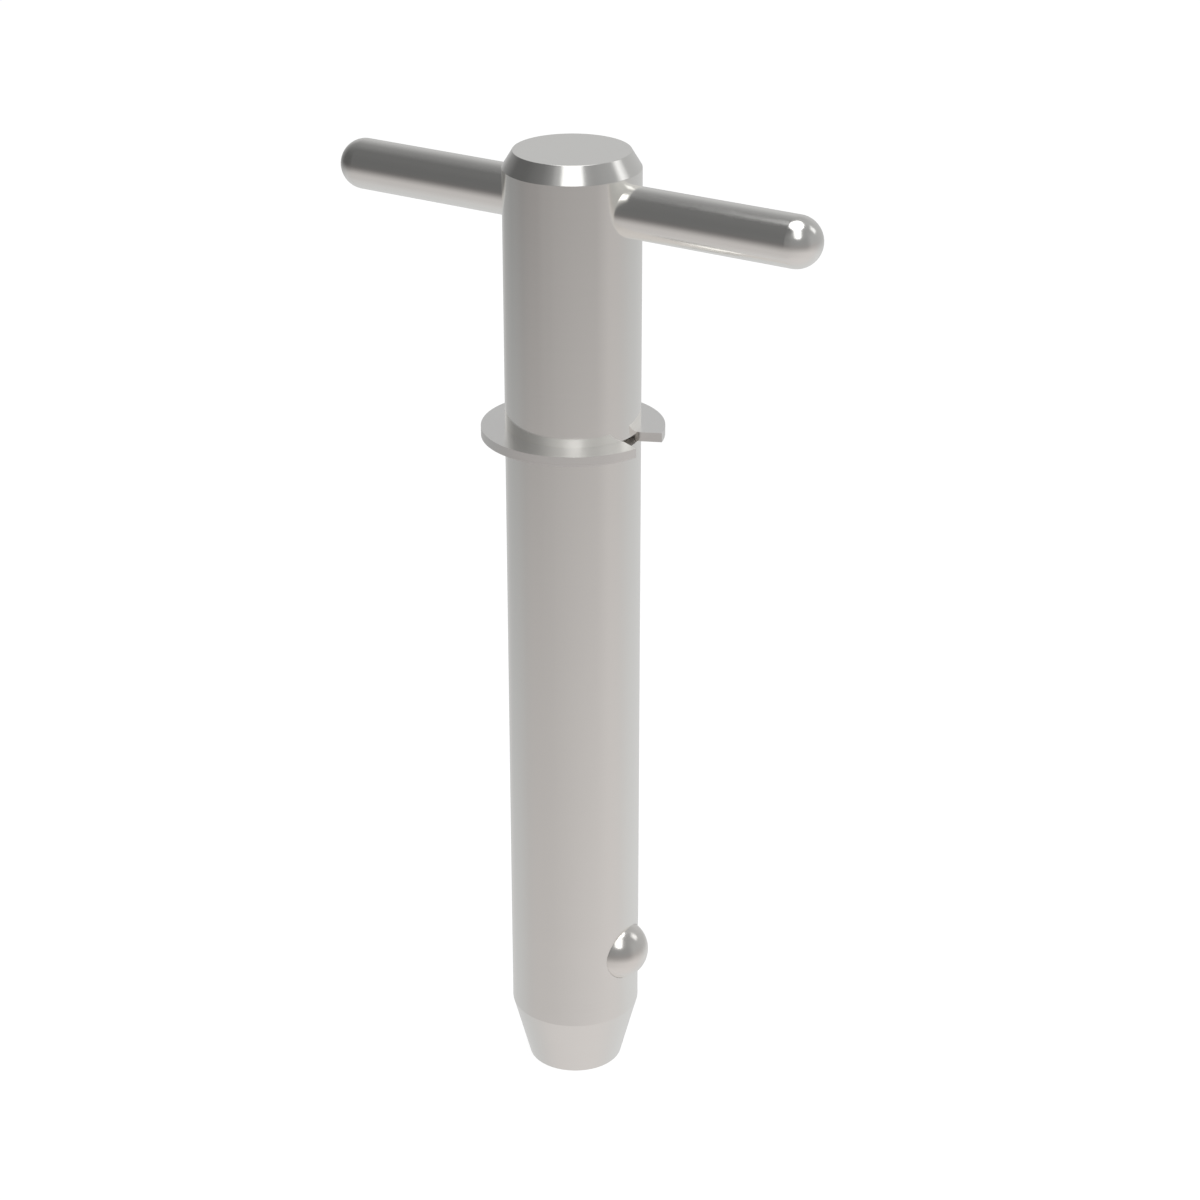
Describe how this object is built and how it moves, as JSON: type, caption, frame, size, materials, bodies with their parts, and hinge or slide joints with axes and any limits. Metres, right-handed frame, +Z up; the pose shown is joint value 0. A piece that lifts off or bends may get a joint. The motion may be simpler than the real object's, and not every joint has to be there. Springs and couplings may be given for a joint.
{
  "type": "locking pin",
  "caption": "T-handle locking pin: solid shank with a cross handle, a retaining ring as shoulder and a sprung detent ball near the tapered tip.",
  "frame": {"origin": "centre of the flat end of the tip, on the shank's axis", "axes": "+Z up along the shank from the tip to the head; +X along the handle, towards the side that the detent ball and the ring's mouth face"},
  "size_m": [0.0508, 0.0172, 0.0946],
  "materials": {
    "shank_steel": "turned and polished stainless steel",
    "bar_steel": "drawn and polished stainless steel rod with full round ends",
    "ring_steel": "stamped stainless spring steel, smooth faces",
    "ball_steel": "ground and polished bearing ball",
    "spring_steel": "drawn stainless spring wire"
  },
  "bodies": {
    "pin": {"shank": "shank_steel", "cross_bar": "bar_steel", "retaining_ring": "ring_steel", "ball_spring": "spring_steel"},
    "ball": {"detent_ball": "ball_steel"}
  },
  "joints": [
    {"name": "ball_press", "type": "slide", "parent": "pin", "child": "ball", "axis": [-1, 0, 0], "range_m": [0, 0.0018], "stiffness_N_per_m": 2500, "springref_m": -0.001, "deforming": ["ball_spring"]}
  ]
}
